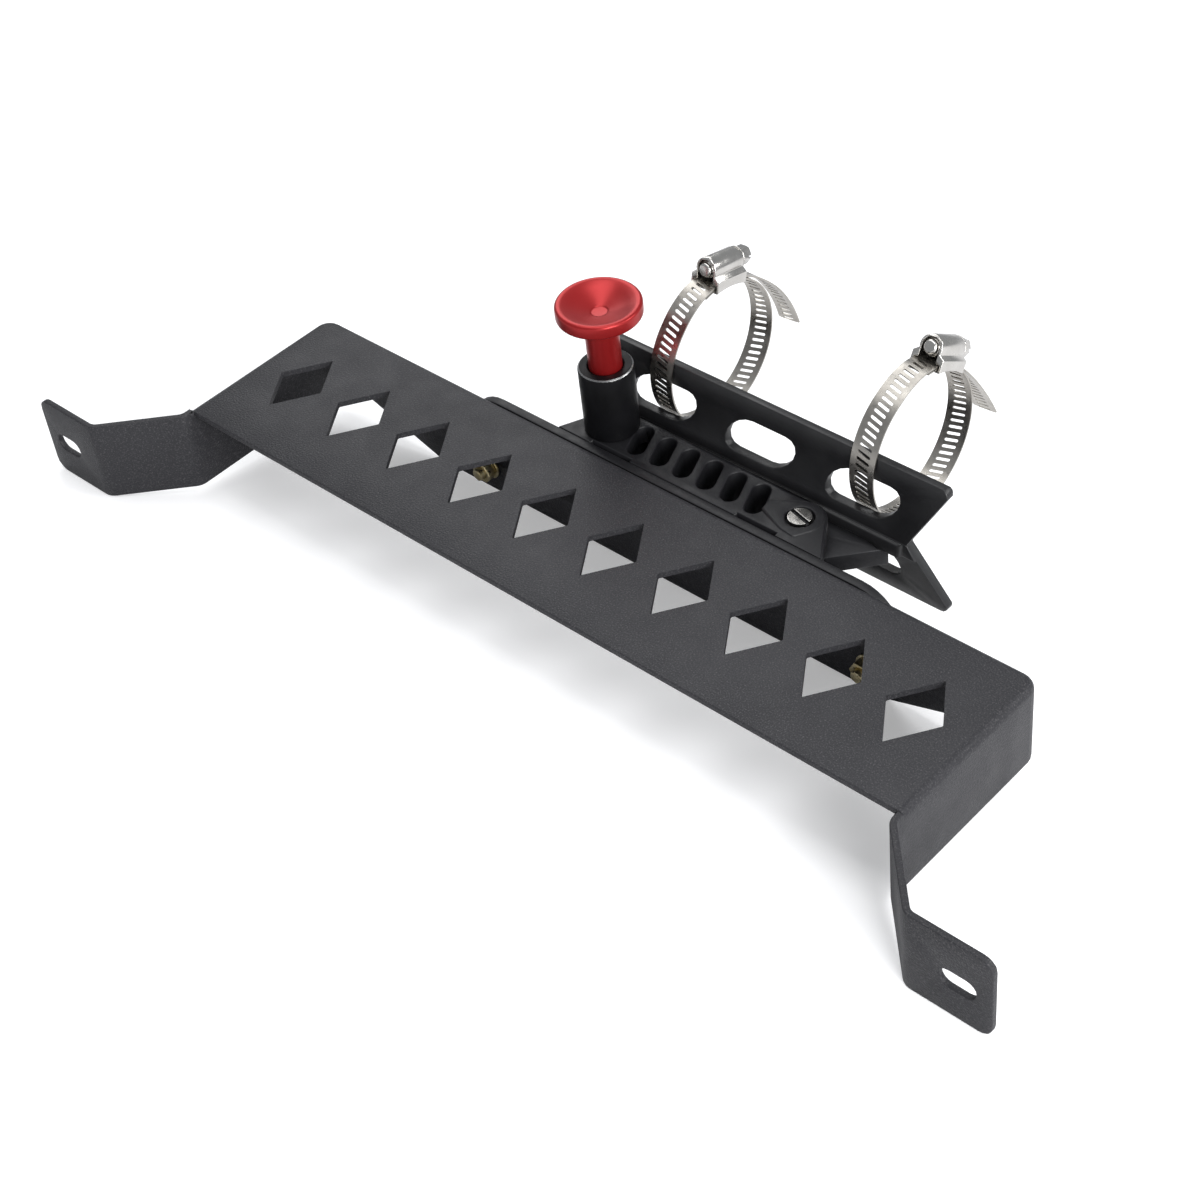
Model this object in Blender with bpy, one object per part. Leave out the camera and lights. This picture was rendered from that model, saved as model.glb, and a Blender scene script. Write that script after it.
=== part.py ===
"""Seat-mounted fire extinguisher bracket with a quick-release saddle and two worm-drive clamps.

Metres, +Z up. X runs along the seat plate, +Y is the rear, where the bottle is carried.
The origin is the middle of the seat plate's top face.
"""
import math

import bmesh
import bpy
from mathutils import Matrix, Vector

MM = 0.001
GAP = 0.3                 # clearance left between pieces that touch

# Seat plate: one folded sheet
PITCH = 40.0              # diamond spacing, the length that sets the scale
DIAMONDS = 10
DIAMOND_X = 27.7
DIAMOND_Y = 41.3
SHEET = 3.0
PLATE_X = 209.3           # half length over the side walls
PLATE_FRONT = -45.5
PLATE_REAR = 44.5
BEND = 4.0                # outer radius of the folds
PLAN_R = 8.0              # rounded rear corners seen from above
WALL_Z = -42.2            # lower edge of side walls, arms and ears
FLANGE_Z = -55.0          # lower edge of the rear flange
ARM_BEND = 238.0          # x of the fold between arm and ear
EAR_Y = -82.1             # middle of the ear's sheet
EAR_X = 277.0
EAR_HOLE_X = 261.4
EAR_HOLE_Z = -22.2

# Back plate, its two bolts, and the quick-release base
BACK_X = (-113.0, 137.0)
BACK_T = 4.5
BACK_Z = (-56.5, -2.0)    # its lower edge carries the rear when the bracket is laid down
BACK_R = 20.0
BOLT_X = (-101.0, 125.0)
BOLT_Z = -40.6
BOLT_R = 3.0
BASE_TOP = -2.0
BASE_BOTTOM = -27.0
BASE_X = (-58.7, 94.3)
AXIS_Y = 64.6             # pin and pivot share one line
PIN_X = -38.5
PIVOT_X = 70.7
LOBE_R = 11.9             # rounded ends of the base around pin and pivot
MORTISE_Y = 51.4
HOLES = 6
HOLE_X = -20.9
HOLE_PITCH = 13.7
PIVOT_R = 4.0
PIVOT_HEAD_R = 6.1

# Plunger, drawn with its knob raised and its pin clear of the swing plate
TRAVEL = 8.0
PIN_R = 4.0
COLLAR_R = 7.6
COLLAR_T = 3.0
BARREL_R = 12.8
BARREL_TOP = 33.0
CAVITY_R = 9.0
LEDGE_Z = 20.6            # the spring pushes down from this ledge
LEDGE_T = 2.0
SPRING_R = 6.2
SPRING_WIRE = 1.1
SPRING_TURNS = 5
STEM_R = 7.7
KNOB_R = 19.6
KNOB_TOP = 67.0
KNOB_RIM = 6.4            # height of the rim

# Saddle: shallow V with a bar along its root, and the plate that swings in the base
ROOT_Y = 79.0
ROOT_Z = -3.9
SADDLE_T = 4.5
FLANGE_W = 35.0
FLANGE_TILT = math.radians(81.0)
SADDLE_MID = 35.1
SADDLE_HALF = 99.1
ROOT_HALF = 81.5
BAR_Y = AXIS_Y + LOBE_R + GAP
SWING_TOP = -11.8
SWING_T = 8.9
LUG_R = 10.5
SLOT_X = (-21.3, 35.1, 91.6)
SLOT_W = 14.8             # middle of the slots above and below the root
SLOT_H = 18.8
SLOT_LEAN = 0.5

# Clamps: loops threaded through the upper slots
BAND_R = 35.2             # middle of the band's sheet
BAND_T = 0.7
BAND_W = 12.7
LAP = 1.15                # the outer lap's middle above the inner lap's
END_REACH = 10.0          # degrees of the inner end that show in front of the housing
CLAMP_X = (-21.3, 91.6)
HOUSING_AT = (77.0, 58.0) # place of each housing on the loop, degrees above the rear
HOUSING_L = 20.0
WORM_UP = 6.6             # worm axis above the band
WORM_R = 4.2
NECK_R = 2.5
HOUSING_SPAN = math.degrees(HOUSING_L / 2 / BAND_R)
TAILS = ((62.0, 90.0), (50.0, 260.0))
BAND_CLEAR = BAND_T / 2 + 0.34


def loop_centre():
    """Place the loop behind the slot's lower web and in front of the flange's outer edge."""
    run, rise = math.cos(FLANGE_TILT), math.sin(FLANGE_TILT)
    up = SLOT_W - SLOT_H / 2
    web = (ROOT_Y + up * run / rise + SADDLE_T / rise, ROOT_Z + up)
    edge = (ROOT_Y + FLANGE_W * run, ROOT_Z + FLANGE_W * rise)
    far, near = BAND_R + BAND_CLEAR, BAND_R - BAND_CLEAR
    dy, dz = edge[0] - web[0], edge[1] - web[1]
    span = math.hypot(dy, dz)
    along = (far ** 2 - near ** 2 + span ** 2) / (2 * span)
    out = math.sqrt(far ** 2 - along ** 2)
    return web[0] + (along * dy + out * dz) / span, web[1] + (along * dz - out * dy) / span


LOOP_Y, LOOP_Z = loop_centre()


def material(name, colour, rough, metal):
    mat = bpy.data.materials.new(name)
    mat.use_nodes = True
    bsdf = mat.node_tree.nodes["Principled BSDF"]
    bsdf.inputs["Base Color"].default_value = (*colour, 1.0)
    bsdf.inputs["Roughness"].default_value = rough
    bsdf.inputs["Metallic"].default_value = metal
    return mat


def solid(name, verts, faces):
    mesh = bpy.data.meshes.new(name)
    mesh.from_pydata([Vector(v) * MM for v in verts], [], faces)
    bm = bmesh.new()
    bm.from_mesh(mesh)
    bmesh.ops.recalc_face_normals(bm, faces=bm.faces)
    bm.to_mesh(mesh)
    bm.free()
    obj = bpy.data.objects.new(name, mesh)
    bpy.context.collection.objects.link(obj)
    return obj


def prism(name, outline, low, high, axis="Z"):
    """Close a flat outline into a solid between two heights along an axis."""
    place = {"Z": lambda a, b, h: (a, b, h), "Y": lambda a, b, h: (a, h, b), "X": lambda a, b, h: (h, a, b)}[axis]
    n = len(outline)
    verts = [place(a, b, low) for a, b in outline] + [place(a, b, high) for a, b in outline]
    faces = [tuple(range(n)), tuple(range(n, 2 * n))]
    faces += [(i, (i + 1) % n, n + (i + 1) % n, n + i) for i in range(n)]
    return solid(name, verts, faces)


def turned(name, profile, centre, sides=32):
    """Turn a profile of (radius, height) about a vertical axis; a radius of 0 closes the end."""
    verts, rings = [], []
    for radius, height in profile:
        if radius == 0:
            rings.append([len(verts)])
            verts.append((centre[0], centre[1], height))
            continue
        rings.append(list(range(len(verts), len(verts) + sides)))
        for i in range(sides):
            a = 2 * math.pi * i / sides
            verts.append((centre[0] + radius * math.cos(a), centre[1] + radius * math.sin(a), height))
    faces = []
    closed = len(rings[0]) > 1
    pairs = list(zip(rings, rings[1:])) + ([(rings[-1], rings[0])] if closed else [])
    for one, two in pairs:
        for i in range(sides):
            j = (i + 1) % sides
            corner = [one[i % len(one)], one[j % len(one)], two[j % len(two)], two[i % len(two)]]
            faces.append(tuple(dict.fromkeys(corner)))
    return solid(name, verts, faces)


def arc(centre, radius, start, end, steps):
    turn = [math.radians(start + (end - start) * i / steps) for i in range(steps + 1)]
    return [(centre[0] + radius * math.cos(t), centre[1] + radius * math.sin(t)) for t in turn]


def disc(centre, radius, steps=24):
    return arc(centre, radius, 0, 360, steps)[:-1]


def obround(centre, length, height, lean=0.0, steps=8):
    """Slot outline with round ends; lean shifts its top sideways."""
    r = height / 2
    h = length / 2 - r
    ends = arc((h, 0), r, -90, 90, steps) + arc((-h, 0), r, 90, 270, steps)
    return [(centre[0] + a + lean * b, centre[1] + b) for a, b in ends]


def box(name, x, y, z):
    return prism(name, [(x[0], y[0]), (x[1], y[0]), (x[1], y[1]), (x[0], y[1])], z[0], z[1])


def carve(body, tools, operation="DIFFERENCE"):
    for tool in tools:
        mod = body.modifiers.new("cut", "BOOLEAN")
        mod.operation = operation
        mod.solver = "EXACT"
        mod.object = tool
        bpy.context.view_layer.update()
        depsgraph = bpy.context.evaluated_depsgraph_get()
        mesh = bpy.data.meshes.new_from_object(body.evaluated_get(depsgraph))
        body.modifiers.clear()
        old = body.data
        body.data = mesh
        bpy.data.meshes.remove(old)
        bpy.data.objects.remove(tool)
    return body


def finish(body, mat, angle=40.0):
    """Clean the mesh, give it its material and shade it smooth by angle."""
    bm = bmesh.new()
    bm.from_mesh(body.data)
    bmesh.ops.remove_doubles(bm, verts=bm.verts, dist=0.000002)
    bmesh.ops.dissolve_degenerate(bm, edges=bm.edges, dist=0.000002)
    bmesh.ops.dissolve_limit(bm, angle_limit=math.radians(0.5), verts=bm.verts, edges=bm.edges)
    bmesh.ops.triangulate(bm, faces=bm.faces)
    bmesh.ops.recalc_face_normals(bm, faces=bm.faces)
    for face in bm.faces:
        face.smooth = True
    for edge in bm.edges:
        if len(edge.link_faces) == 2 and edge.calc_face_angle(0.0) > math.radians(angle):
            edge.smooth = False
    bm.to_mesh(body.data)
    bm.free()
    body.data.name = body.name
    body.data.materials.clear()
    body.data.materials.append(mat)
    return body


def set_origin(body, point):
    """Move the object's origin to a point, leaving its mesh in place."""
    body.data.transform(Matrix.Translation(-Vector(point) * MM))
    body.location = Vector(point) * MM
    return body


def hull_outline(points):
    """Convex outline around a set of plan points, anticlockwise."""
    pts = sorted(set((round(a, 6), round(b, 6)) for a, b in points))

    def half(seq):
        out = []
        for p in seq:
            while len(out) > 1 and ((out[-1][0] - out[-2][0]) * (p[1] - out[-2][1])
                                    - (out[-1][1] - out[-2][1]) * (p[0] - out[-2][0])) <= 1e-9:
                out.pop()
            out.append(p)
        return out[:-1]

    return half(pts) + half(reversed(pts))


def thick_path(points, thickness):
    """Outline of a strip of constant thickness that follows an open line of points."""
    left, right = [], []
    for i, (a, b) in enumerate(points):
        before = points[max(i - 1, 0)]
        after = points[min(i + 1, len(points) - 1)]
        d1 = Vector((a - before[0], b - before[1]))
        d2 = Vector((after[0] - a, after[1] - b))
        d1 = d1.normalized() if d1.length else d2.normalized()
        d2 = d2.normalized() if d2.length else d1
        way = (d1 + d2).normalized()
        reach = thickness / 2 / max(0.5, way.dot(d1))
        left.append((a - way.y * reach, b + way.x * reach))
        right.append((a + way.y * reach, b - way.x * reach))
    return left + right[::-1]


def tray(name, grow, low, front):
    """Block with folded top edges and rounded rear corners; grow is negative for the inside."""
    half, rear, corner, bend, top = PLATE_X + grow, PLATE_REAR + grow, PLAN_R + grow, BEND + grow, grow
    rings = [(0.0, low), (0.0, top - bend)]
    rings += [(bend * (1 - math.cos(t)), top - bend + bend * math.sin(t))
              for t in [math.radians(90 * i / 5) for i in range(1, 6)]]
    verts, faces, n = [], [], 0
    for inset, height in rings:
        x, y, r = half - inset, rear - inset, corner - inset
        ring = [(-x, front), (x, front)] + arc((x - r, y - r), r, 0, 90, 6) + arc((r - x, y - r), r, 90, 180, 6)
        n = len(ring)
        verts += [(a, b, height) for a, b in ring]
    for k in range(len(rings) - 1):
        faces += [(k * n + i, k * n + (i + 1) % n, (k + 1) * n + (i + 1) % n, (k + 1) * n + i) for i in range(n)]
    faces += [tuple(range(n)), tuple(range((len(rings) - 1) * n, len(rings) * n))]
    return solid(name, verts, faces)


def bent(points, radius, steps=5):
    """Replace the inner corners of a line by round bends."""
    out = [points[0]]
    for before, here, after in zip(points, points[1:], points[2:]):
        p, a, b = Vector(here), Vector(before), Vector(after)
        u, v = (a - p).normalized(), (b - p).normalized()
        half = u.angle(v) / 2
        reach = radius / math.tan(half)
        middle = p + (u + v).normalized() * radius / math.sin(half)
        start, end = p + u * reach, p + v * reach
        s, e = (start - middle), (end - middle)
        for i in range(steps + 1):
            t = i / steps
            way = (s * math.sin((1 - t) * s.angle(e)) + e * math.sin(t * s.angle(e))) / math.sin(s.angle(e))
            out.append(tuple(middle + way))
    return out + [points[-1]]


def seat_plate(mat):
    body = tray("seat_plate", 0.0, -60.0, PLATE_FRONT)
    carve(body, [tray("inside", -SHEET, -80.0, PLATE_FRONT - 20)])
    side = [(-90, -90), (80, -90), (80, -34), (PLATE_REAR, -34)]
    side += arc((PLATE_REAR - 8, -34), 8.2, 0, -90, 6)[1:] + [(-90, WALL_Z)]
    edge = PLATE_X - SHEET - 4
    flange = [(-edge, -90), (edge, -90), (edge, -34.2), (184, -38.8), (136, FLANGE_Z)]
    flange += [(-136, FLANGE_Z), (-184, -38.8), (-edge, -34.2)]
    cuts = [prism("trim", side, edge, 260, "X"), prism("trim", side, -260, -edge, "X")]
    cuts.append(prism("trim", flange, 20, 60, "Y"))
    for k in range(DIAMONDS):
        x = (k - (DIAMONDS - 1) / 2) * PITCH
        shape = [(x - DIAMOND_X / 2, 0), (x, -DIAMOND_Y / 2), (x + DIAMOND_X / 2, 0), (x, DIAMOND_Y / 2)]
        cuts.append(prism("diamond", shape, -10, 5))
    cuts += [prism("hole", disc((x, BOLT_Z), BOLT_R + GAP), 30, 60, "Y") for x in BOLT_X]
    carve(body, cuts)
    for sign in (-1, 1):
        wall = PLATE_X - SHEET / 2
        line = bent([(wall, PLATE_FRONT + 0.2), (wall, -50.5), (ARM_BEND, EAR_Y), (EAR_X, EAR_Y)], 6.0)
        arm = prism("arm", [(sign * a, b) for a, b in thick_path(line, SHEET)], WALL_Z, 0.0)
        r = 6.0
        corner = [(EAR_X - r, 20), (EAR_X + 23, 20), (EAR_X + 23, -80), (EAR_X - r, -80)]
        corner += arc((EAR_X - r, WALL_Z + r), r, -90, 0, 5) + arc((EAR_X - r, -r), r, 0, 90, 5)
        slot = obround((sign * EAR_HOLE_X, EAR_HOLE_Z), 17.0, 9.5)
        cuts = [prism("round", [(sign * a, b) for a, b in corner], -100, -60, "Y")]
        carve(arm, cuts + [prism("slot", slot, -100, -60, "Y")])
        carve(body, [arm], "UNION")
    return finish(body, mat)


def back_plate(mat):
    x, z, r = BACK_X, BACK_Z, BACK_R
    shape = arc((x[1] - r, z[0] + r), r, -90, 0, 8) + arc((x[1] - r, z[1] - r), r, 0, 90, 8)
    shape += arc((x[0] + r, z[1] - r), r, 90, 180, 8) + arc((x[0] + r, z[0] + r), r, 180, 270, 8)
    low = PLATE_REAR + GAP
    body = prism("back_plate", shape, low, low + BACK_T, "Y")
    return finish(carve(body, [prism("hole", disc((x, BOLT_Z), BOLT_R + GAP), 30, 70, "Y") for x in BOLT_X]), mat)


def base_block(mat):
    front = PLATE_REAR + BACK_T + 2 * GAP
    plan = [(BASE_X[0], front), (BASE_X[1], front)]
    plan += disc((PIVOT_X, AXIS_Y), LOBE_R, 48) + disc((PIN_X, AXIS_Y), LOBE_R, 48)
    body = prism("base_block", hull_outline(plan), BASE_BOTTOM, BASE_TOP)
    pad = hull_outline(disc((PIVOT_X, AXIS_Y), 10.6, 32) + [(53.0, 66.0), (54.0, 60.0), (76.0, 53.0)])
    carve(body, [prism("pad", pad, BASE_TOP - 3, BASE_TOP + 0.8)], "UNION")
    low, high = SWING_TOP - SWING_T - GAP, SWING_TOP + GAP
    cuts = [box("mortise", x, (MORTISE_Y, 95), (low, high)) for x in ((-90, -25), (53, 130))]
    lean = math.radians(112)
    for k in range(HOLES):
        x = HOLE_X + HOLE_PITCH * k
        shape = [(x + a * math.cos(lean) - b * math.sin(lean), 64.0 + a * math.sin(lean) + b * math.cos(lean))
                 for a, b in obround((0, 0), 20.0, 8.4)]
        cuts.append(prism("hole", shape, -40, 5))
    for x in ((-38.9, -15.3), (46.4, 68.6)):
        cuts.append(box("slot", x, (front - 1, front + 2.0), (-7, 5)))
    cuts.append(prism("bore", disc((PIVOT_X, AXIS_Y), PIVOT_R + GAP), -40, 5))
    cuts.append(prism("seat", disc((PIVOT_X, AXIS_Y), PIVOT_HEAD_R + 0.5), BASE_TOP - 2.2, 5))
    cuts.append(prism("bore", disc((PIN_X, AXIS_Y), PIN_R + GAP), -14, 5))
    return finish(carve(body, cuts), mat)


def plunger_barrel(mat):
    low, top, bore, mouth = BASE_TOP + GAP, BARREL_TOP, PIN_R + GAP, STEM_R + 0.4
    wall = [(CAVITY_R, low), (BARREL_R - 0.2, low), (BARREL_R, low + 0.2), (BARREL_R, top - 0.8), (BARREL_R - 0.8, top)]
    wall += [(mouth + 0.5, top), (mouth, top - 0.5), (mouth, LEDGE_Z + LEDGE_T), (bore, LEDGE_Z + LEDGE_T)]
    wall += [(bore, LEDGE_Z), (CAVITY_R, LEDGE_Z)]
    return finish(turned("plunger_barrel", wall, (PIN_X, AXIS_Y), 40), mat)


def pull_knob(mat):
    """Dished knob and grooved stem in one piece, bored from below for the pin."""
    top, rim, low, bore = KNOB_TOP, KNOB_TOP - KNOB_RIM, LEDGE_Z + LEDGE_T + TRAVEL + GAP, PIN_R + GAP
    groove = BARREL_TOP + 3.1
    shape = [(0, top - 3.7), (3.2, top - 3.7), (KNOB_R - 2.4, top - 0.6), (KNOB_R - 1.4, top)]
    shape += [(KNOB_R - 0.4, top - 0.4), (KNOB_R, top - 1.4), (KNOB_R, rim + 1), (KNOB_R - 0.7, rim)]
    shape += [(STEM_R + 1.7, rim - 2), (STEM_R + 0.1, rim - 3.4), (STEM_R, groove + 1.5), (STEM_R - 1, groove + 1)]
    shape += [(STEM_R - 1, groove), (STEM_R, groove - 0.5), (STEM_R, low + 0.6), (STEM_R - 0.4, low)]
    shape += [(bore, low), (bore, low + 10), (0, low + 10)]
    body = finish(turned("pull_knob", shape, (PIN_X, AXIS_Y), 40), mat)
    return set_origin(body, (PIN_X, AXIS_Y, 0))


def lock_pin(mat):
    """Pin with a collar for the spring; pushed down by its travel, it enters the swing plate."""
    low, end, top = BASE_TOP + GAP + TRAVEL, SWING_TOP + 1.0, LEDGE_Z + LEDGE_T + TRAVEL + 10.0
    shape = [(0, end), (PIN_R - 0.8, end), (PIN_R, end + 0.8), (PIN_R, low), (COLLAR_R, low)]
    shape += [(COLLAR_R, low + COLLAR_T), (PIN_R, low + COLLAR_T), (PIN_R, top), (0, top)]
    body = finish(turned("lock_pin", shape, (PIN_X, AXIS_Y), 28), mat)
    return set_origin(body, (PIN_X, AXIS_Y, 0))


def plunger_spring(mat):
    low, high = BASE_TOP + 2 * GAP + TRAVEL + COLLAR_T, LEDGE_Z - GAP
    steps, sides, wire = 14 * SPRING_TURNS, 6, SPRING_WIRE / 2
    verts, faces = [], []
    for i in range(steps + 1):
        t = i / steps
        a = 2 * math.pi * SPRING_TURNS * t
        out = Vector((math.cos(a), math.sin(a), 0))
        middle = Vector((PIN_X, AXIS_Y, low + wire + (high - low - 2 * wire) * t)) + out * SPRING_R
        for k in range(sides):
            b = 2 * math.pi * k / sides
            verts.append(tuple(middle + out * wire * math.cos(b) + Vector((0, 0, wire * math.sin(b)))))
    for i in range(steps):
        for k in range(sides):
            j = (k + 1) % sides
            faces.append((i * sides + k, i * sides + j, (i + 1) * sides + j, (i + 1) * sides + k))
    faces += [tuple(range(sides)), tuple(range(steps * sides, (steps + 1) * sides))]
    return set_origin(finish(solid("plunger_spring", verts, faces), mat), (PIN_X, AXIS_Y, 0))


def pivot_screw(mat):
    seat = BASE_TOP - 2.2 + GAP
    shape = [(0, -26.0), (3.4, -26.0), (PIVOT_R, -25.2), (PIVOT_R, seat), (PIVOT_HEAD_R, seat)]
    shape += [(PIVOT_HEAD_R, 0.0), (5.5, 0.6), (0, 0.8)]
    body = turned("pivot_screw", shape, (PIVOT_X, AXIS_Y), 32)
    turn = math.radians(-30)
    slot = [(PIVOT_X + a * math.cos(turn) - b * math.sin(turn), AXIS_Y + a * math.sin(turn) + b * math.cos(turn))
            for a, b in ((-8, -0.8), (8, -0.8), (8, 0.8), (-8, 0.8))]
    return finish(carve(body, [prism("slot", slot, -1.0, 5)]), mat)


def saddle(mat):
    run, rise = math.cos(FLANGE_TILT), math.sin(FLANGE_TILT)
    outer = (ROOT_Y + FLANGE_W * run, FLANGE_W * rise)
    inner = (outer[0] + SADDLE_T * rise, outer[1] - SADDLE_T * run)
    top, low = -4.4, SWING_TOP + GAP
    face = ROOT_Y + (ROOT_Z - low) * run / rise
    section = [(outer[0], ROOT_Z + outer[1]), (ROOT_Y, ROOT_Z), (ROOT_Y + 0.08, top), (BAR_Y, top), (BAR_Y, low)]
    section += [(face, low), (outer[0], ROOT_Z - outer[1]), (inner[0], ROOT_Z - inner[1])]
    section += [(ROOT_Y + SADDLE_T / rise, ROOT_Z), (inner[0], ROOT_Z + inner[1])]
    body = prism("saddle", section, SADDLE_MID - SADDLE_HALF, SADDLE_MID + SADDLE_HALF, "X")
    cuts = []
    for sign in (-1, 1):
        r, edge = 4.0, SADDLE_HALF
        half = [(ROOT_HALF, 0), (edge, outer[1] - r)] + arc((edge - r, outer[1] - r), r, 0, 90, 5)[1:]
        half += [(edge - r, 60), (150, 60)]
        shape = [(SADDLE_MID + sign * a, ROOT_Z + b) for a, b in half + [(a, -b) for a, b in half[:0:-1]]]
        cuts.append(prism("end", shape, 60, 120, "Y"))
        tip = arc((ROOT_HALF - 4, BAR_Y + 2), 2.0, -90, 0, 4) + [(ROOT_HALF - 2, ROOT_Y - 0.1), (150, ROOT_Y - 0.1)]
        tip += [(150, 60), (ROOT_HALF - 4, 60)]
        cuts.append(prism("tip", [(SADDLE_MID + sign * a, b) for a, b in tip], -15, 0, "Z"))
    for x in SLOT_X:
        for sign in (-1, 1):
            shape = obround((x, ROOT_Z + sign * SLOT_W), 37.0, SLOT_H, sign * SLOT_LEAN)
            cuts.append(prism("slot", shape, 70, 120, "Y"))
    return set_origin(finish(carve(body, cuts), mat), (PIVOT_X, AXIS_Y, 0))


def swing_plate(mat):
    rear = 79.9
    shape = arc((PIN_X, AXIS_Y), LUG_R, 180, 360, 12) + [(PIN_X + LUG_R, 74.0), (PIN_X + LUG_R + 2.5, 76.9)]
    shape += [(53.8, 76.9), (58.5, 73.0)] + arc((PIVOT_X, AXIS_Y), 12.2, 180, 270, 8)
    shape += [(87.0, 57.6), (104.5, 77.8), (106.5, rear), (-46.0, rear), (PIN_X - LUG_R, 76.0)]
    body = prism("swing_plate", shape, SWING_TOP - SWING_T, SWING_TOP)
    bores = ((PIN_X, PIN_R), (PIVOT_X, PIVOT_R))
    carve(body, [prism("bore", disc((x, AXIS_Y), r + GAP), -40, 0) for x, r in bores])
    return set_origin(finish(body, mat), (PIVOT_X, AXIS_Y, 0))


def clamp_frame(k):
    """Frame at clamp k's housing: X across the band, Y along it toward the screw head, Z outward."""
    turn = Matrix.Rotation(math.radians(HOUSING_AT[k] - 90), 4, "X")
    middle = Matrix.Translation(Vector((CLAMP_X[k], LOOP_Y, LOOP_Z)) * MM)
    return middle @ turn @ Matrix.Translation((0, 0, BAND_R * MM))


def clamp_band(k, mat):
    """One strip: once round the loop, over its own end inside the housing, then out as the free tail."""
    start = HOUSING_AT[k] + HOUSING_SPAN + END_REACH
    line = []
    for i in range(49):
        a = start - 360 * i / 48
        lift = LAP * min(1.0, max(0.0, (i - 44) / 4))
        line.append((LOOP_Y + (BAND_R + lift) * math.cos(math.radians(a)),
                     LOOP_Z + (BAND_R + lift) * math.sin(math.radians(a))))
    under = 2 * HOUSING_SPAN + END_REACH + 2
    for i in range(1, 6):
        a = math.radians(start - under * i / 5)
        line.append((LOOP_Y + (BAND_R + LAP) * math.cos(a), LOOP_Z + (BAND_R + LAP) * math.sin(a)))
    length, radius = TAILS[k]
    turn = start - under - 90
    for i in range(1, 11):
        turn -= math.degrees(length / 10 / radius)
        y, z = line[-1]
        line.append((y + length / 10 * math.cos(math.radians(turn)), z + length / 10 * math.sin(math.radians(turn))))
    body = prism("clamp_band_%d" % (k + 1), thick_path(line, BAND_T), CLAMP_X[k] - BAND_W / 2,
                 CLAMP_X[k] + BAND_W / 2, "X")
    return set_origin(finish(body, mat), (PIVOT_X, AXIS_Y, 0))


def clamp_housing(k, mat):
    """Pressed shell, open in front, that wraps both laps of the band and carries the worm above them."""
    half, top = HOUSING_L / 2, WORM_UP + 5.8
    span = math.degrees(math.asin(half / BAND_R))
    below = arc((0, -BAND_R), BAND_R - BAND_T / 2 - GAP - 0.8, 90 - span, 90 + span, 8)
    side = [(half, top - 1.5), (half, below[0][1])] + below[1:-1] + [(-half, below[-1][1]), (-half, top - 1.5)]
    side += [(1.5 - half, top), (half - 1.5, top)]
    body = prism("clamp_housing_%d" % (k + 1), side, -8.0, 8.0, "X")
    across = [(-8.0, -9), (8.0, -9), (8.0, 3.0)] + arc((0, WORM_UP), 5.8, -18, 198, 14) + [(-8.0, 3.0)]
    shell = prism("shell", across, -30, 30, "Y")
    carve(body, [shell], "INTERSECT")
    inside = arc((0, -BAND_R), BAND_R - BAND_T / 2 - GAP, 90 - 2 * span, 90 + 2 * span, 12)
    outside = arc((0, -BAND_R), BAND_R + LAP + BAND_T / 2 + GAP, 90 + 2 * span, 90 - 2 * span, 12)
    cuts = [prism("channel", inside + outside, -BAND_W / 2 - GAP, BAND_W / 2 + GAP, "X")]
    cuts.append(prism("worm", disc((0, WORM_UP), WORM_R + GAP, 28), -half - 1, half - 1.8, "Y"))
    throat = arc((0, -BAND_R), BAND_R + LAP, 90 + span + 2, 90 - 0.8 * span, 12)
    throat += [(half - 1.8, WORM_UP), (-half - 1, WORM_UP)]
    cuts.append(prism("throat", throat, -WORM_R - GAP, WORM_R + GAP, "X"))
    cuts.append(prism("neck", disc((0, WORM_UP), NECK_R + GAP), -30, 30, "Y"))
    carve(body, cuts)
    body.data.transform(clamp_frame(k))
    return set_origin(finish(body, mat), (PIVOT_X, AXIS_Y, 0))


def clamp_screw(k, mat):
    """Plain worm core with a flanged, slotted hex head; its thread is finer than this model."""
    half, hex_r = HOUSING_L / 2, 4.6
    shape = [(0, -half - 1.2), (WORM_R - 1.7, -half - 1.2), (WORM_R - 0.9, -half - 0.4), (WORM_R - 0.9, 0.8 - half)]
    shape += [(WORM_R, 1.4 - half), (WORM_R, half - 2.1), (NECK_R, half - 2.1), (NECK_R, half + 0.4)]
    shape += [(5.4, half + 0.4), (5.4, half + 1.4), (3.6, half + 1.6), (0, half + 1.6)]
    body = turned("clamp_screw_%d" % (k + 1), shape, (0, 0), 24)
    head = prism("head", disc((0, 0), hex_r, 6), half + 1.2, half + 7.4)
    cap = [(0, half + 9), (0.1, half + 9), (2.9, half + 7.7), (5.0, half + 6.6), (5.0, half), (0, half)]
    carve(head, [turned("cap", cap, (0, 0), 24)], "INTERSECT")
    carve(body, [head], "UNION")
    carve(body, [box("slot", (-7, 7), (-0.6, 0.6), (half + 5.2, half + 12))])
    axis = clamp_frame(k) @ Matrix.Translation((0, 0, WORM_UP * MM))
    body.data.transform(axis @ Matrix.Rotation(math.radians(-90), 4, "X"))
    return set_origin(finish(body, mat), axis.translation / MM)


def mount_bolt(k, mat):
    low = PLATE_REAR + BACK_T + 2 * GAP
    body = prism(("mount_bolt_l", "mount_bolt_r")[k], disc((BOLT_X[k], BOLT_Z), BOLT_R), 32.0, low + 0.5, "Y")
    carve(body, [prism("head", disc((BOLT_X[k], BOLT_Z), 5.6), low, low + 3.6, "Y")], "UNION")
    hexagon = disc((BOLT_X[k], BOLT_Z), 2.3, 6)
    return finish(carve(body, [prism("socket", hexagon, low + 1.6, low + 9, "Y")]), mat)


def ring(name, outline, k, low, high, mat):
    body = prism(name, [(BOLT_X[k] + a, BOLT_Z + b) for a, b in outline], low, high, "Y")
    return finish(carve(body, [prism("bore", disc((BOLT_X[k], BOLT_Z), BOLT_R + GAP), 20, 60, "Y")]), mat)


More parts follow.
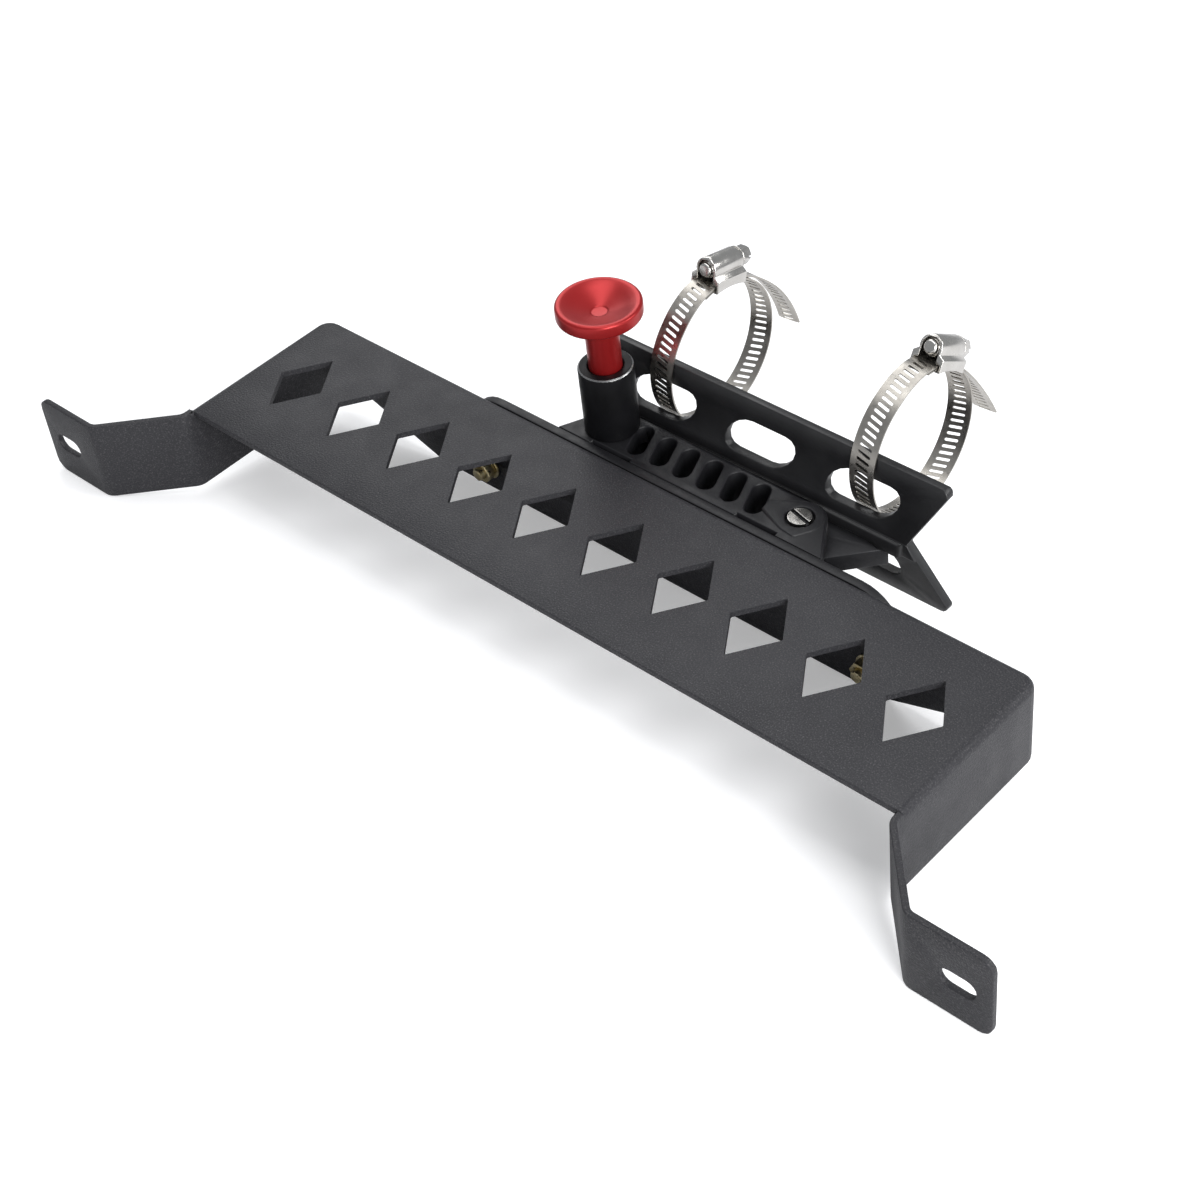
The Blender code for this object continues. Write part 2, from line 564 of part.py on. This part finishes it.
def build():
    for obj in list(bpy.data.objects):
        bpy.data.objects.remove(obj)
    powder = material("powder_coat", (0.062, 0.062, 0.068), 0.62, 0.0)
    anodised = material("black_anodised", (0.032, 0.032, 0.034), 0.42, 0.35)
    satin = material("satin_black", (0.018, 0.018, 0.019), 0.38, 0.3)
    grey = material("dark_grey_alloy", (0.050, 0.050, 0.052), 0.45, 0.4)
    red = material("red_anodised", (0.46, 0.012, 0.014), 0.27, 0.85)
    steel = material("stainless_steel", (0.62, 0.61, 0.59), 0.24, 1.0)
    screw_steel = material("plated_screw", (0.66, 0.65, 0.62), 0.3, 1.0)
    zinc = material("yellow_zinc", (0.50, 0.41, 0.20), 0.38, 0.9)
    seat_plate(powder)
    back_plate(anodised)
    base_block(anodised)
    plunger_barrel(satin)
    pull_knob(red)
    lock_pin(steel)
    plunger_spring(steel)
    pivot_screw(screw_steel)
    saddle(satin)
    swing_plate(grey)
    inner = PLATE_REAR - SHEET - GAP
    for k in range(2):
        clamp_band(k, steel)
        clamp_housing(k, steel)
        clamp_screw(k, screw_steel)
        mount_bolt(k, zinc)
        side = "lr"[k]
        ring("mount_washer_" + side, disc((0, 0), 6.2), k, inner - 1.3, inner, zinc)
        ring("mount_nut_" + side, disc((0, 0), 5.77, 6), k, inner - 6.6, inner - 1.6, zinc)


build()
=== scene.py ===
import math

import bpy
from mathutils import Matrix, Vector


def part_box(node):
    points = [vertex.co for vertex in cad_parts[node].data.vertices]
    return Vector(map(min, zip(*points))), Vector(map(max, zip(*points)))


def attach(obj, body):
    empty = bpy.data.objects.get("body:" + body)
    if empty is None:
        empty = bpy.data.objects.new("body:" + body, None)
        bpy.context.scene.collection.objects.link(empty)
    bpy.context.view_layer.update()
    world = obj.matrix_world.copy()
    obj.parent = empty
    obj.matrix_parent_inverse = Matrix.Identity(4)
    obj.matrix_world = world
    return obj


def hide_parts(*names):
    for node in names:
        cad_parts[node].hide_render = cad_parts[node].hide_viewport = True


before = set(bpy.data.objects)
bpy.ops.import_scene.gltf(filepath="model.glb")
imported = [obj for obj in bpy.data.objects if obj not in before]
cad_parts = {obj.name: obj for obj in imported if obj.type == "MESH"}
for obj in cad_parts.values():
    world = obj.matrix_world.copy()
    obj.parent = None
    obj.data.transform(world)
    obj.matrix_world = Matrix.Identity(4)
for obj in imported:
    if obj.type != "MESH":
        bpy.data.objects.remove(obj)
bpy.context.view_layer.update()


# Camera: stands in front of the plate's right half and looks down on it.
# The lens gives the photograph's perspective on a 36 mm sensor.
camera = bpy.data.objects.new("camera", bpy.data.cameras.new("camera"))
bpy.context.collection.objects.link(camera)
camera.location = (0.5671, -0.5121, 0.6603)
camera.rotation_euler = [math.radians(a) for a in (47.168, 5.502, 42.424)]
camera.data.lens = 70.02
camera.data.sensor_width = 36.0
bpy.context.scene.camera = camera


# Floor: a wide white sweep under the bracket, which lies on its back plate's
# lower edge and on its two ears, so the floor leans a little against the plate.
plate_edge_y, plate_edge_z = 0.0448, -0.0565
ear_y, ear_z = -0.0836, -0.0422
floor_gap = 0.0002
lean = math.atan2(ear_z - plate_edge_z, plate_edge_y - ear_y)
bpy.ops.object.select_all(action="DESELECT")
bpy.ops.mesh.primitive_plane_add(size=14, location=(0, 0, 0))
floor = bpy.context.object
floor.name = "floor"
under_plate = Matrix.Translation((0, plate_edge_y, plate_edge_z - floor_gap))
floor.data.transform(under_plate @ Matrix.Rotation(-lean, 4, "X"))
white = bpy.data.materials.new("studio_white")
white.use_nodes = True
tree = white.node_tree
paint = tree.nodes["Principled BSDF"]
paint.inputs["Base Color"].default_value = (0.80, 0.80, 0.81, 1)
paint.inputs["Roughness"].default_value = 0.7
paint.inputs["Specular IOR Level"].default_value = 0.1
glow = tree.nodes.new("ShaderNodeEmission")
glow.inputs["Color"].default_value = (1, 1, 1, 1)
glow.inputs["Strength"].default_value = 0.33
seen = tree.nodes.new("ShaderNodeLightPath")
both = tree.nodes.new("ShaderNodeAddShader")
pick = tree.nodes.new("ShaderNodeMixShader")
tree.links.new(paint.outputs[0], both.inputs[0])
tree.links.new(glow.outputs[0], both.inputs[1])
tree.links.new(seen.outputs["Is Camera Ray"], pick.inputs[0])
tree.links.new(paint.outputs[0], pick.inputs[1])
tree.links.new(both.outputs[0], pick.inputs[2])
tree.links.new(pick.outputs[0], tree.nodes["Material Output"].inputs[0])
floor.data.materials.append(white)


# Light: a large soft box at the front right, weaker ones at both sides behind,
# a long strip overhead, and an even pale room.
bpy.context.scene.view_settings.view_transform = "Standard"
room = bpy.data.worlds.new("room")
bpy.context.scene.world = room
room.use_nodes = True
room.node_tree.nodes["Background"].inputs["Color"].default_value = (0.93, 0.96, 1.0, 1)
room.node_tree.nodes["Background"].inputs["Strength"].default_value = 0.42


def soft_box(name, place, aim, width, height, power):
    """A rectangular lamp that stands at a place and faces the point it aims at."""
    lamp = bpy.data.objects.new(name, bpy.data.lights.new(name, "AREA"))
    bpy.context.collection.objects.link(lamp)
    lamp.data.shape = "RECTANGLE"
    lamp.data.size = width
    lamp.data.size_y = height
    lamp.data.energy = power
    lamp.location = place
    lamp.rotation_euler = (Vector(aim) - Vector(place)).to_track_quat("-Z", "Y").to_euler()


soft_box("key", (1.45, -0.50, 0.72), (0.05, 0.0, 0.0), width=0.9, height=0.9, power=30)
soft_box("rear_right", (1.15, 0.90, 0.85), (0.10, 0.0, 0.0), width=0.5, height=0.5, power=9)
soft_box("fill", (-1.1, 0.9, 1.1), (0.0, 0.05, 0.0), width=1.0, height=1.0, power=9)
soft_box("overhead", (0.0, 0.1, 1.7), (0.0, 0.05, 0.0), width=1.6, height=0.7, power=13)


# Seat plate: one sheet of 3 mm steel, laser cut and folded down on three sides,
# with arms that end in slotted ears. It is powder coated in a fine matt texture.
def cleaned_copy(node, name):
    """A piece with a solid's shape, its loose triangles joined at their corners."""
    piece = bpy.data.objects.new(name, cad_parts[node].data.copy())
    bpy.context.collection.objects.link(piece)
    bpy.ops.object.select_all(action="DESELECT")
    bpy.context.view_layer.objects.active = piece
    piece.select_set(True)
    bpy.ops.object.mode_set(mode="EDIT")
    bpy.ops.mesh.select_all(action="SELECT")
    bpy.ops.mesh.remove_doubles(threshold=0.00001)
    bpy.ops.object.mode_set(mode="OBJECT")
    return piece


def break_edges(piece, width, segments=2, sharper_than=32):
    """Round every sharp edge a little, as deburring and coating do."""
    bevel = piece.modifiers.new("edges", "BEVEL")
    bevel.width = width
    bevel.segments = segments
    bevel.limit_method = "ANGLE"
    bevel.angle_limit = math.radians(sharper_than)
    bevel.use_clamp_overlap = False
    bpy.context.view_layer.objects.active = piece
    bpy.ops.object.modifier_apply(modifier="edges")
    bpy.ops.object.shade_smooth_by_angle(angle=math.radians(38))


def coat(piece, *finishes):
    """Give a piece these finishes in place of any that came with its mesh."""
    piece.data.materials.clear()
    for finish in finishes:
        piece.data.materials.append(finish)


def finish_kit(name, colour, rough, metal):
    """A new material with its shader, its place coordinates and its node tree.

    The colour and roughness are the finish's mean, for viewers without nodes.
    """
    mat = bpy.data.materials.new(name)
    mat.use_nodes = True
    shader = mat.node_tree.nodes["Principled BSDF"]
    shader.inputs["Base Color"].default_value = (*colour, 1)
    shader.inputs["Roughness"].default_value = rough
    shader.inputs["Metallic"].default_value = metal
    place = mat.node_tree.nodes.new("ShaderNodeTexCoord").outputs["Object"]
    return mat, shader, place, mat.node_tree


def grain(tree, place, scale, low=0.0, high=1.0, detail=3, stretch=(1, 1, 1)):
    """Noise at a given scale, spread between two values."""
    mapping = tree.nodes.new("ShaderNodeMapping")
    mapping.inputs["Scale"].default_value = stretch
    tree.links.new(place, mapping.inputs["Vector"])
    noise = tree.nodes.new("ShaderNodeTexNoise")
    noise.inputs["Scale"].default_value = scale
    noise.inputs["Detail"].default_value = detail
    tree.links.new(mapping.outputs[0], noise.inputs["Vector"])
    spread = tree.nodes.new("ShaderNodeMapRange")
    spread.inputs["From Min"].default_value = 0.3
    spread.inputs["From Max"].default_value = 0.7
    spread.inputs["To Min"].default_value = low
    spread.inputs["To Max"].default_value = high
    tree.links.new(noise.outputs[0], spread.inputs["Value"])
    return spread.outputs[0]


def tint(tree, factor, one, two):
    """Colour that goes from one, plain or already mixed, to two as the factor rises."""
    mix = tree.nodes.new("ShaderNodeMix")
    mix.data_type = "RGBA"
    if isinstance(one, tuple):
        mix.inputs["A"].default_value = (*one, 1)
    else:
        tree.links.new(one, mix.inputs["A"])
    mix.inputs["B"].default_value = (*two, 1)
    tree.links.new(factor, mix.inputs["Factor"])
    return mix.outputs["Result"]


def relief(tree, shader, height, depth):
    """Bump of a real depth in metres."""
    bump = tree.nodes.new("ShaderNodeBump")
    bump.inputs["Strength"].default_value = 1.0
    bump.inputs["Distance"].default_value = depth
    tree.links.new(height, bump.inputs["Height"])
    tree.links.new(bump.outputs[0], shader.inputs["Normal"])


powder, shader, place, tree = finish_kit("powder_coat", (0.023, 0.023, 0.026), 0.6, 0.0)
shader.inputs["Specular IOR Level"].default_value = 0.28
cloud = grain(tree, place, 14, detail=4)
cloudy = tint(tree, cloud, (0.015, 0.015, 0.0175), (0.021, 0.021, 0.024))
flecks = grain(tree, place, 1500, detail=2)
only_peaks = tree.nodes.new("ShaderNodeMath")
only_peaks.operation = "POWER"
only_peaks.inputs[1].default_value = 4.0
tree.links.new(flecks, only_peaks.inputs[0])
flecked = tint(tree, only_peaks.outputs[0], cloudy, (0.060, 0.058, 0.062))
tree.links.new(flecked, shader.inputs["Base Color"])
tree.links.new(grain(tree, place, 60, 0.44, 0.56, detail=5), shader.inputs["Roughness"])
relief(tree, shader, grain(tree, place, 1100, detail=2), depth=0.00012)

plate = cleaned_copy("seat_plate", "folded_plate")
coat(plate, powder)
break_edges(plate, 0.0005)
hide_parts("seat_plate")
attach(plate, "base")


# Plate bolts: two M6 bolts pass from the back plate through the rear flange.
# Their washers and nuts sit inside the fold, in yellow zinc plating.
zinc, shader, place, tree = finish_kit("yellow_zinc", (0.50, 0.41, 0.20), 0.34, 1.0)
passivated = tint(tree, grain(tree, place, 260), (0.52, 0.42, 0.20), (0.58, 0.52, 0.36))
tree.links.new(passivated, shader.inputs["Base Color"])
tree.links.new(grain(tree, place, 900, 0.24, 0.46), shader.inputs["Roughness"])
relief(tree, shader, grain(tree, place, 2600, detail=2), depth=0.00003)
for side in ("l", "r"):
    for kind, edge_width in (("bolt", 0.0004), ("washer", 0.0003), ("nut", 0.0005)):
        piece = cleaned_copy("mount_%s_%s" % (kind, side), "plate_%s_%s" % (kind, side))
        coat(piece, zinc)
        break_edges(piece, edge_width, sharper_than=40)
        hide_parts("mount_%s_%s" % (kind, side))
        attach(piece, "base")


# Back plate: flat aluminium with large rounded corners, black anodised,
# clamped against the rear flange under the quick-release base.
# The same black is also painted shade in the pivot screw's slot.
black, shader, place, tree = finish_kit("black_anodised", (0.011, 0.011, 0.0125), 0.42, 0.0)
shader.inputs["Specular IOR Level"].default_value = 0.32
anodised = tint(tree, grain(tree, place, 45, detail=4),
                (0.007, 0.007, 0.0085), (0.011, 0.011, 0.0125))
tree.links.new(anodised, shader.inputs["Base Color"])
tree.links.new(grain(tree, place, 220, 0.36, 0.52, detail=5), shader.inputs["Roughness"])
relief(tree, shader, grain(tree, place, 3000, detail=2), depth=0.000025)
rear_plate = cleaned_copy("back_plate", "rear_plate")
coat(rear_plate, black)
break_edges(rear_plate, 0.0004)
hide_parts("back_plate")
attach(rear_plate, "base")


# Base block: machined from solid, with slanted holes to save weight and a
# raised teardrop around the pivot. It is black anodised with softened edges.
block = cleaned_copy("base_block", "release_base")
coat(block, black)
break_edges(block, 0.0007, segments=3)
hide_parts("base_block")
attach(block, "base")


# Plunger barrel: a turned tube with a thin bright chamfer at its mouth.
# The lathe leaves very fine rings on its black finish.
plunger_x, plunger_y, ring_pitch = -0.0385, 0.0646, 0.0004
mouth_z, mouth_r = 0.0322, 0.0115


def turned_finish(tree, place):
    """Fine rings around the plunger's upright axis, as a turning tool leaves them."""
    centred = tree.nodes.new("ShaderNodeMapping")
    centred.inputs["Location"].default_value = (-plunger_x, -plunger_y, 0)
    tree.links.new(place, centred.inputs["Vector"])
    parts = tree.nodes.new("ShaderNodeSeparateXYZ")
    tree.links.new(centred.outputs[0], parts.inputs[0])
    flat = tree.nodes.new("ShaderNodeCombineXYZ")
    tree.links.new(parts.outputs["X"], flat.inputs["X"])
    tree.links.new(parts.outputs["Y"], flat.inputs["Y"])
    radius = tree.nodes.new("ShaderNodeVectorMath")
    radius.operation = "LENGTH"
    tree.links.new(flat.outputs[0], radius.inputs[0])
    total = tree.nodes.new("ShaderNodeMath")
    tree.links.new(radius.outputs["Value"], total.inputs[0])
    tree.links.new(parts.outputs["Z"], total.inputs[1])
    rings = tree.nodes.new("ShaderNodeTexNoise")
    rings.noise_dimensions = "1D"
    rings.inputs["Scale"].default_value = 1 / ring_pitch
    rings.inputs["Detail"].default_value = 2
    tree.links.new(total.outputs[0], rings.inputs["W"])
    return rings.outputs[0]


satin, shader, place, tree = finish_kit("satin_black", (0.007, 0.007, 0.008), 0.42, 0.0)
shader.inputs["Specular IOR Level"].default_value = 0.14
tree.links.new(grain(tree, place, 160, 0.36, 0.50, detail=5), shader.inputs["Roughness"])
dyed = tint(tree, grain(tree, place, 70, detail=4), (0.0035, 0.0035, 0.004), (0.006, 0.006, 0.007))
tree.links.new(dyed, shader.inputs["Base Color"])
relief(tree, shader, turned_finish(tree, place), depth=0.000006)
bare, shader, place, tree = finish_kit("bare_edge", (0.30, 0.30, 0.30), 0.3, 1.0)
tree.links.new(grain(tree, place, 900, 0.22, 0.40), shader.inputs["Roughness"])
barrel = cleaned_copy("plunger_barrel", "barrel")
coat(barrel, satin, bare)
break_edges(barrel, 0.00025)
for face in barrel.data.polygons:
    at_mouth = all(barrel.data.vertices[v].co.z > mouth_z for v in face.vertices)
    sloping = 0.3 < face.normal.z < 0.95
    from_axis = math.hypot(face.center.x - plunger_x, face.center.y - plunger_y)
    if at_mouth and sloping and from_axis > mouth_r:
        face.material_index = 1
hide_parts("plunger_barrel")
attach(barrel, "base")


# Pull knob: turned aluminium, anodised deep red, with a dished top, a rounded
# rim and a plain stem that slides in the barrel and is bored for the pin.
crimson, shader, place, tree = finish_kit("red_anodised", (0.38, 0.014, 0.014), 0.3, 0.55)
ring_height = turned_finish(tree, place)
ringed = tint(tree, ring_height, (0.29, 0.010, 0.011), (0.33, 0.013, 0.014))
tree.links.new(ringed, shader.inputs["Base Color"])
tree.links.new(grain(tree, place, 25, 0.30, 0.34, detail=2), shader.inputs["Roughness"])
relief(tree, shader, ring_height, depth=0.000002)
knob_r, knob_top, rim_height, rim_round = 0.0196, 0.0670, 0.0068, 0.0014
stem_r, bore_r, bore_depth = 0.0077, 0.0043, 0.0100
stem_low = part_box("pull_knob")[0][2]
dish = ((0.0020, 0.0), (0.0012, -0.0003), (0.0030, -0.0013), (0.0050, -0.0021),
        (0.0044, -0.0013), (0.0003, -0.0003))     # steps inwards, and how far each rises
underside = ((0.0104, 0.0), (0.0009, -0.0008), (0.0006, -0.0012))


def select_faces(piece, wanted):
    """Open a piece for editing with only the wanted faces selected."""
    bpy.ops.object.mode_set(mode="EDIT")
    bpy.ops.mesh.select_mode(type="FACE")
    bpy.ops.mesh.select_all(action="DESELECT")
    bpy.ops.object.mode_set(mode="OBJECT")
    for face in piece.data.polygons:
        face.select = wanted(face)
    bpy.ops.object.mode_set(mode="EDIT")


def looks_up(face):
    """Whether a face belongs to the flat top."""
    return face.normal.z > 0.9


def looks_down(face):
    """Whether a face belongs to the flat underside."""
    return face.normal.z < -0.9


bpy.ops.object.select_all(action="DESELECT")
bpy.ops.mesh.primitive_cylinder_add(
    vertices=96, radius=knob_r, depth=rim_height,
    location=(plunger_x, plunger_y, knob_top - rim_height / 2))
knob = bpy.context.object
knob.name = "knob"
bpy.ops.object.transform_apply(location=True)
select_faces(knob, looks_up)
for inward, rise in dish:
    bpy.ops.mesh.inset(thickness=inward, depth=rise)
bpy.ops.object.mode_set(mode="OBJECT")
select_faces(knob, looks_down)
stem_start = knob_top - rim_height
for inward, rise in underside:
    bpy.ops.mesh.inset(thickness=inward, depth=-rise)
    stem_start += rise
bpy.ops.mesh.extrude_region_move(TRANSFORM_OT_translate={"value": (0, 0, stem_low - stem_start)})
bpy.ops.mesh.inset(thickness=stem_r - bore_r)
bpy.ops.mesh.extrude_region_move(TRANSFORM_OT_translate={"value": (0, 0, bore_depth)})
bpy.ops.object.mode_set(mode="OBJECT")
rim = knob.modifiers.new("rim", "BEVEL")
rim.width = rim_round
rim.segments = 5
rim.limit_method = "ANGLE"
rim.angle_limit = math.radians(80)
rim.use_clamp_overlap = False
bpy.ops.object.modifier_apply(modifier="rim")
coat(knob, crimson)
break_edges(knob, 0.0004, segments=3, sharper_than=24)
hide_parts("pull_knob")
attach(knob, "plunger")


# Lock pin and its coil spring: ground steel, hidden inside the barrel,
# with the pin's rounded end in the swing plate.
steel, shader, place, tree = finish_kit("rolled_steel", (0.40, 0.39, 0.37), 0.3, 1.0)
rolled = tint(tree, grain(tree, place, 90, detail=4), (0.36, 0.34, 0.31), (0.44, 0.42, 0.385))
tree.links.new(rolled, shader.inputs["Base Color"])
tree.links.new(grain(tree, place, 400, 0.24, 0.38, detail=4), shader.inputs["Roughness"])
relief(tree, shader, grain(tree, place, 2200, detail=2), depth=0.000005)
pin = cleaned_copy("lock_pin", "pin")
coat(pin, steel)
break_edges(pin, 0.0003)
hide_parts("lock_pin")
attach(pin, "plunger")
coat(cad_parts["plunger_spring"], steel)


# Pivot screw: a bright slotted screw with a flat head in a counterbore of the
# base. The saddle's swing plate turns on its shank.
bright, shader, place, tree = finish_kit("bright_plate", (0.52, 0.51, 0.49), 0.2, 1.0)
plated = tint(tree, grain(tree, place, 140, detail=4), (0.50, 0.485, 0.46), (0.58, 0.565, 0.54))
tree.links.new(plated, shader.inputs["Base Color"])
tree.links.new(grain(tree, place, 300, 0.16, 0.28, detail=5), shader.inputs["Roughness"])
relief(tree, shader, grain(tree, place, 700, detail=2), depth=0.000003)
pivot_x, pivot_y, head_top, head_low = 0.0707, 0.0646, -0.0007, -0.0039
head_r, shank_r, shank_length = 0.0055, 0.0040, 0.0221
slot_turn, slot_width, slot_depth, cutter_length = math.radians(-14), 0.0017, 0.0015, 0.02
bpy.ops.object.select_all(action="DESELECT")
bpy.ops.mesh.primitive_cylinder_add(
    vertices=64, radius=head_r, depth=head_top - head_low,
    location=(pivot_x, pivot_y, (head_top + head_low) / 2))
pivot = bpy.context.object
pivot.name = "pivot"
bpy.ops.object.transform_apply(location=True)
select_faces(pivot, looks_down)
bpy.ops.mesh.inset(thickness=head_r - shank_r)
bpy.ops.mesh.extrude_region_move(TRANSFORM_OT_translate={"value": (0, 0, -shank_length)})
bpy.ops.mesh.select_all(action="DESELECT")
bpy.ops.object.mode_set(mode="OBJECT")
bpy.ops.mesh.primitive_cube_add(
    size=1, location=(pivot_x, pivot_y, head_top), rotation=(0, 0, slot_turn),
    scale=(cutter_length, slot_width, 2 * slot_depth))
cutter = bpy.context.object
slot_cut = pivot.modifiers.new("slot", "BOOLEAN")
slot_cut.operation = "DIFFERENCE"
slot_cut.solver = "EXACT"
slot_cut.object = cutter
bpy.context.view_layer.objects.active = pivot
bpy.ops.object.modifier_apply(modifier="slot")
bpy.data.objects.remove(cutter)
# The slot's walls and floor take the black finish: painted shade for the shadow that falls in the
# slot.
coat(pivot, bright, black)
break_edges(pivot, 0.0003, segments=3)
across_slot = Vector((-math.sin(slot_turn), math.cos(slot_turn), 0))
wall_reach, mouth_lip, floor_reach = 0.00002, 0.0002, 0.0003     # what counts as the dark slot
for face in pivot.data.polygons:
    aside = abs((face.center - Vector((pivot_x, pivot_y, 0))).dot(across_slot))
    depth = head_top - face.center.z
    in_slot = aside < slot_width / 2 + wall_reach and mouth_lip < depth < slot_depth + floor_reach
    face.material_index = int(in_slot)
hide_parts("pivot_screw")
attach(pivot, "base")


# Swing plate: thick aluminium plate under the saddle's bar, with a satin finish in a
# dark grey lighter than the saddle's black, partly its own matt finish and partly
# painted light that its top catches. The pivot screw and the lock pin pass through it.
grey, shader, place, tree = finish_kit("dark_grey_alloy", (0.018, 0.018, 0.020), 0.42, 0.2)
shader.inputs["Specular IOR Level"].default_value = 0.3
# The noise in the grey is random tone; its lift above the saddle's black is partly painted light.
blasted_tone_and_painted_light = tint(tree, grain(tree, place, 55, detail=4), (0.014, 0.014, 0.016), (0.022, 0.022, 0.024))
tree.links.new(blasted_tone_and_painted_light, shader.inputs["Base Color"])
streaks = grain(tree, place, 500, 0.34, 0.50, detail=4, stretch=(0.15, 1, 1))
tree.links.new(streaks, shader.inputs["Roughness"])
relief(tree, shader, grain(tree, place, 1800, detail=2, stretch=(0.1, 1, 1)), depth=0.00002)
tongue = cleaned_copy("swing_plate", "tongue")
coat(tongue, grey)
break_edges(tongue, 0.0004)
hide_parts("swing_plate")
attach(tongue, "saddle")


# Saddle: a shallow V of aluminium with slots for the clamps and a bar along
# its root. Its satin black finish shows faint rubbing.
rubbed, shader, place, tree = finish_kit("saddle_black", (0.010, 0.010, 0.011), 0.38, 0.0)
shader.inputs["Specular IOR Level"].default_value = 0.4
smeared = tint(tree, grain(tree, place, 38, detail=5), (0.008, 0.008, 0.009), (0.014, 0.014, 0.015))
tree.links.new(smeared, shader.inputs["Base Color"])
tree.links.new(grain(tree, place, 90, 0.30, 0.48, detail=6), shader.inputs["Roughness"])
relief(tree, shader, grain(tree, place, 2400, detail=2), depth=0.00002)
cradle = cleaned_copy("saddle", "cradle")
coat(cradle, rubbed)
break_edges(cradle, 0.0005)
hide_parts("saddle")
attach(cradle, "saddle")


# Clamp bands: 12.7 mm stainless strip, pierced with slanted slots for the worm.
# Each runs once round the loop, over its own end, and out as a free tail.
band_width, band_thickness = 0.0127, 0.0007
pierce_pitch, pierce_width, pierce_length = 0.0031, 0.00134, 0.0068
pierce_round, pierce_slant, square_end = 0.0006, 0.23, 0.0001
loop_y, loop_z, band_r = 0.116447, 0.017680, 0.0352
band_x = (-0.0213, 0.0916)
housing_at = (77.0, 58.0)              # degrees round the loop, from the rear upwards
inner_end = 26.277                     # degrees that the inner end reaches past the housing
once_round = math.radians(404.554)     # from the inner end to where the tail leaves the loop
lap, lap_from, lap_over = 0.00115, 330, 30     # the outer lap rises by this, from and over degrees
tail_length = (0.062, 0.050)
tail_radius = (0.080, 0.190)


def band_path(k, run):
    """The place at a distance along clamp k's band, before its own place along X."""
    centre = Vector((0, loop_y, loop_z))
    start = math.radians(housing_at[k] + inner_end)
    once = band_r * once_round
    if run < once:
        turn = run / band_r
        risen = min(1.0, max(0.0, (math.degrees(turn) - lap_from) / lap_over))
        out = Vector((0, math.cos(start - turn), math.sin(start - turn)))
        return centre + out * (band_r + lap * risen)
    turn = start - once / band_r
    out = Vector((0, math.cos(turn), math.sin(turn)))
    hub = centre + out * (band_r + lap) - out * tail_radius[k]
    left = (run - once) / tail_radius[k]
    return hub + Vector((0, math.cos(turn - left), math.sin(turn - left))) * tail_radius[k]


def in_middle(face):
    """Whether a face of the first pitch of strip is the one to pierce."""
    aside = abs(face.center.x - pierce_pitch / 2)
    return aside < pierce_width / 4 and abs(face.center.y) < pierce_length / 4


for k in range(2):
    total = band_r * once_round + tail_length[k]
    count = int(total / pierce_pitch)
    bpy.ops.object.select_all(action="DESELECT")
    bpy.ops.mesh.primitive_grid_add(x_subdivisions=3, y_subdivisions=3, size=1)
    strip = bpy.context.object
    strip.name = "pierced_band_%d" % (k + 1)
    columns = (0, (pierce_pitch - pierce_width) / 2,
               (pierce_pitch + pierce_width) / 2, pierce_pitch)
    rows = (-band_width / 2, -pierce_length / 2, pierce_length / 2, band_width / 2)
    for v in strip.data.vertices:
        v.co = (columns[round((v.co.x + 0.5) * 3)], rows[round((v.co.y + 0.5) * 3)], 0)
    select_faces(strip, in_middle)
    bpy.ops.mesh.bevel(affect="VERTICES", offset=pierce_round, offset_type="OFFSET", segments=2)
    select_faces(strip, in_middle)
    bpy.ops.mesh.delete(type="FACE")
    bpy.ops.object.mode_set(mode="OBJECT")
    row = strip.modifiers.new("row", "ARRAY")
    row.count = count
    row.use_relative_offset = False
    row.use_constant_offset = True
    row.constant_offset_displace = (pierce_pitch, 0, 0)
    row.use_merge_vertices = True
    row.merge_threshold = 0.00001
    bpy.ops.object.modifier_apply(modifier="row")
    for v in strip.data.vertices:
        across = v.co.y
        slant = pierce_slant * across if v.co.x > square_end else 0
        run = min(max(v.co.x * total / (count * pierce_pitch) - slant, 0), total)
        v.co = band_path(k, run) + Vector((band_x[k] + across, 0, 0))
    thick = strip.modifiers.new("thick", "SOLIDIFY")
    thick.thickness = band_thickness
    thick.offset = 0
    bpy.ops.object.modifier_apply(modifier="thick")
    bpy.ops.object.shade_smooth_by_angle(angle=math.radians(35))
    coat(strip, steel)
    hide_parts("clamp_band_%d" % (k + 1))
    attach(strip, "saddle")


# Clamp housings and screws: a pressed shell wraps both laps of the band and
# holds a slotted hex worm screw, both bright plated.
for k in range(2):
    shell = cleaned_copy("clamp_housing_%d" % (k + 1), "housing_shell_%d" % (k + 1))
    coat(shell, bright)
    break_edges(shell, 0.0006, segments=3)
    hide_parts("clamp_housing_%d" % (k + 1))
    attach(shell, "saddle")
    screw = cleaned_copy("clamp_screw_%d" % (k + 1), "worm_screw_%d" % (k + 1))
    coat(screw, bright)
    break_edges(screw, 0.0003)
    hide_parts("clamp_screw_%d" % (k + 1))
    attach(screw, "screw_%d" % (k + 1))
